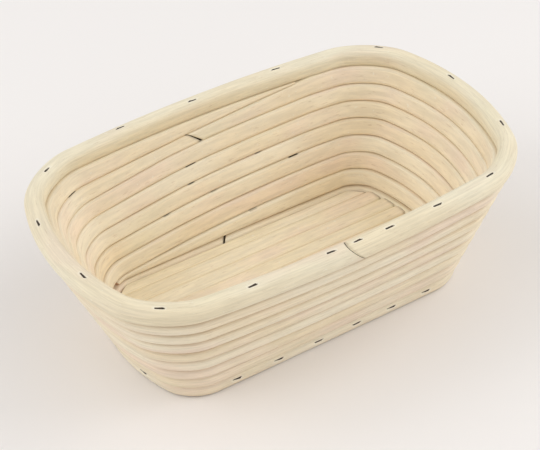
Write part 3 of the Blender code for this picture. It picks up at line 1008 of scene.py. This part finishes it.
def lay_rod(number, node):
    points = [vertex.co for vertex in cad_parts[node].data.vertices]
    low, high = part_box(node)
    (near_left, near_right), (far_left, far_right) = rod_reach(points, low.y, high.y)
    y = (low.y + high.y) / 2
    half = (high.y - low.y) / 2
    half_width = half + ROD_ROOM
    left = (near_left + far_left) / 2 - ROD_REACH
    right = (near_right + far_right) / 2 + ROD_REACH
    count = round((right - left) / ROD_STEP)
    height = (high.z - low.z) / 2
    centres = [Vector((left + (right - left) * n / count, y, height)) for n in range(count + 1)]
    left_slant = end_slant(near_left, far_left, 2 * half)
    right_slant = end_slant(near_right, far_right, 2 * half)
    total = len(centres)
    path = lay_path(node, centres, [0] * total, [half_width] * total, [height] * total,
                    ((left_slant, -UNDERCUT), (right_slant, UNDERCUT)), (ROD_CUT, ROD_CUT), ROD_SLANT_REACH)
    lay_cane(node + "_round", path, (end_finish, end_finish), [node],
             {"Sides": 32, "Squareness": 5.5, "Outside Squareness": 5.5, "Lumps": 0.010,
              "Cane Offset": 40.0 + 3.7 * number, "Pressed By": rim_press, "Seam Strokes": rim_press,
              "Seam Above": 0.0, "Seam Below": 0.0, "Seam Inside": 1.0, "Seam Outside": 1.0,
              "Finish": floor_finish})


for number, node in enumerate(nodes_named("floor_rod")):
    lay_rod(number, node)

# %% [markdown]
# ## Staple wire
#
# One staple is drawn as an open line of four points, rounded at its two bends, and swept with a square of
# wire whose edges are rounded too. The tree sets a copy on each seat, turned to its crown, and tips it a
# little by chance, since no two are driven alike. The wire has gone dark, with a trace of rust.

# %% Staple tree
def make_staple_tree():
    inputs = (("Seats", "Geometry", None), ("Crown", "Float", 0.0056),
              ("Leg", "Float", 0.0130), ("Wire", "Float", 0.00095),
              ("Bend", "Float", 0.0007), ("Tip", "Float", 0.16),
              ("Seed", "Int", 4), ("Finish", "Material", None))
    outputs = (("Staples", "Geometry"),)
    tree, given, result = start_tree("staples_on_seats", "GeometryNodeTree", inputs, outputs)

    half_wire = add_math(tree, "DIVIDE", given["Wire"], 2.0)
    right = add_math(tree, "SUBTRACT", add_math(tree, "DIVIDE", given["Crown"], 2.0), half_wire)
    left, top, foot = (product(tree, value, -1.0) for value in (right, half_wire, given["Leg"]))
    corners = ((left, foot), (left, top), (right, top), (right, foot))
    points = {f"Point {n}": add_node(tree, "ShaderNodeCombineXYZ", {"X": x, "Z": z})[0]
              for n, (x, z) in enumerate(corners, 1)}
    line = add_node(tree, "GeometryNodeCurvePrimitiveQuadrilateral", points, mode="POINTS")[0]
    line = add_node(tree, "GeometryNodeSetSplineCyclic", {"Geometry": line, "Cyclic": False})[0]
    inputs = {"Curve": line, "Count": 4, "Radius": given["Bend"], "Limit Radius": True}
    line = add_node(tree, "GeometryNodeFilletCurve", inputs, mode="POLY")[0]
    inputs = {"Width": given["Wire"], "Height": given["Wire"]}
    square = add_node(tree, "GeometryNodeCurvePrimitiveQuadrilateral", inputs)[0]
    inputs = {"Curve": square, "Count": 2, "Radius": add_math(tree, "DIVIDE", given["Wire"], 3.5)}
    square = add_node(tree, "GeometryNodeFilletCurve", inputs, mode="POLY")[0]
    inputs = {"Curve": line, "Profile Curve": square, "Fill Caps": True}
    staple = add_node(tree, "GeometryNodeCurveToMesh", inputs)[0]

    way_out = add_stored(tree, "way_out", "FLOAT_VECTOR")
    crown = add_stored(tree, "crown", "FLOAT_VECTOR")
    inputs = {"Primary Axis": way_out, "Secondary Axis": crown}
    turned = add_node(tree, "FunctionNodeAxesToRotation", inputs, primary_axis="Z", secondary_axis="X")[0]
    least = product(tree, given["Tip"], -1.0)
    inputs = {"Min": least, "Max": 0.0, "Seed": given["Seed"]}
    sunk = add_node(tree, "FunctionNodeRandomValue", inputs, data_type="FLOAT")["Value"]
    inputs = {"Min": least, "Max": given["Tip"], "Seed": add_math(tree, "ADD", given["Seed"], 50)}
    askew = add_node(tree, "FunctionNodeRandomValue", inputs, data_type="FLOAT")["Value"]
    tipped = add_node(tree, "ShaderNodeCombineXYZ", {"Y": sunk, "Z": askew})[0]
    tip = add_node(tree, "FunctionNodeEulerToRotation", {"Euler": tipped})[0]
    inputs = {"Rotation": turned, "Rotate By": tip}
    seated = add_node(tree, "FunctionNodeRotateRotation", inputs, rotation_space="LOCAL")[0]
    inputs = {"Points": given["Seats"], "Instance": staple, "Rotation": seated}
    copies = add_node(tree, "GeometryNodeInstanceOnPoints", inputs)[0]
    real = add_node(tree, "GeometryNodeRealizeInstances", {"Geometry": copies})[0]
    inputs = {"Geometry": real, "Material": given["Finish"]}
    fill(tree, result, {"Staples": add_node(tree, "GeometryNodeSetMaterial", inputs)[0]})
    return tree


staple_tree = make_staple_tree()
print("staple tree nodes:", len(staple_tree.nodes))


# %% Wire finish
def make_wire_finish():
    material, tree, shader = start_finish("staple_wire")
    place = add_node(tree, "ShaderNodeTexCoord")["Object"]
    patches = add_noise(tree, place, (900, 900, 900), 4.0, 0.6)
    rust = add_ramp(tree, patches, 0.50, 0.68)
    colour = mix_colour(tree, rust, (0.036, 0.026, 0.017, 1), (0.085, 0.045, 0.022, 1))
    metal = add_ramp(tree, rust, 0.0, 1.0, 0.30, 0.05)
    dull = add_ramp(tree, rust, 0.0, 1.0, 0.55, 0.8)
    fill(tree, shader, {"Base Color": colour, "Metallic": metal, "Roughness": dull,
                        "Normal": add_bump(tree, patches, 0.3, 0.0001)})
    return material


wire_finish = make_wire_finish()


# %% Set the staples
def set_staples(name, prefix, leg, seed, sink):
    """All staples of one kind as one piece, sunk a little below the solids' crowns."""
    nodes = nodes_named(prefix)
    mesh = bpy.data.meshes.new(name + "_seats")
    mesh.from_pydata([seats[node][0] - seats[node][1] * sink for node in nodes], [], [])
    for title, number in (("way_out", 1), ("crown", 2)):
        store_vectors(mesh, title, [seats[node][number] for node in nodes])
    carrier = add_object(name + "_seats", mesh)
    piece = grow(name, carrier, staple_tree, {"Leg": leg, "Seed": seed, "Finish": wire_finish})
    smooth(piece.data)
    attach(piece, "root")
    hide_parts(*nodes)
    print(name, "staples:", len(nodes), "faces:", len(piece.data.polygons))


set_staples("rim_staples", "rim_staple", leg=0.0140, seed=4, sink=0.0002)
set_staples("base_staples", "base_staple", leg=0.0140, seed=9, sink=0.0002)
set_staples("wall_staples", "wall_staple", leg=0.0115, seed=2, sink=0.0009)
set_staples("floor_staples", "floor_staple", leg=0.0120, seed=7, sink=0.0)

# %% [markdown]
# ## Floor and light
#
# The basket stands on a plain pale table. Four large soft lamps stand round it, as round a product on a
# photo table, so that every wall is lit and no shadow is hard. A pale world fills in the rest.

# %% Table
TABLE_REACH = 4.0
table_mesh = bpy.data.meshes.new("table")
signs = ((-1, -1), (1, -1), (1, 1), (-1, 1))
table_mesh.from_pydata([(x * TABLE_REACH, y * TABLE_REACH, 0) for x, y in signs], [], [(0, 1, 2, 3)])
table = add_object("table", table_mesh)
table_finish, tree, shader = start_finish("pale_table")
fill(tree, shader, {"Base Color": (0.89, 0.86, 0.84, 1), "Roughness": 0.9, "Specular IOR Level": 0.1})
table_mesh.materials.append(table_finish)


# %% Lamps
LAMP_AIM = Vector((0, 0, 0.04))


def add_lamp(name, place, size, power):
    data = bpy.data.lights.new(name, "AREA")
    data.shape = "DISK"
    data.size = size
    data.energy = power
    look_from(add_object(name, data), Vector(place), LAMP_AIM)
    print(name, "watts:", power)


add_lamp("left_lamp", (-1.50, 0.20, 1.10), 1.4, 9.2)
add_lamp("back_lamp", (-0.90, 1.00, 1.40), 1.6, 6.6)
add_lamp("right_lamp", (1.45, -0.60, 1.10), 1.6, 13.5)
add_lamp("front_lamp", (0.60, -1.40, 1.30), 1.6, 5.5)
world = bpy.data.worlds.new("pale_room")
bpy.context.scene.world = world
world.use_nodes = True
sky = world.node_tree.nodes["Background"]
fill(world.node_tree, sky, {"Color": (1.0, 1.0, 1.0, 1), "Strength": 0.524})

# %% [markdown]
# ## Clearing up
#
# The dressed basket must stay the size of its solids. The helper lines that pressed the canes are thrown
# away.

# %% Throw away the helpers
for helper in (rim_press, ring_press, seam_press):
    bpy.data.objects.remove(helper)
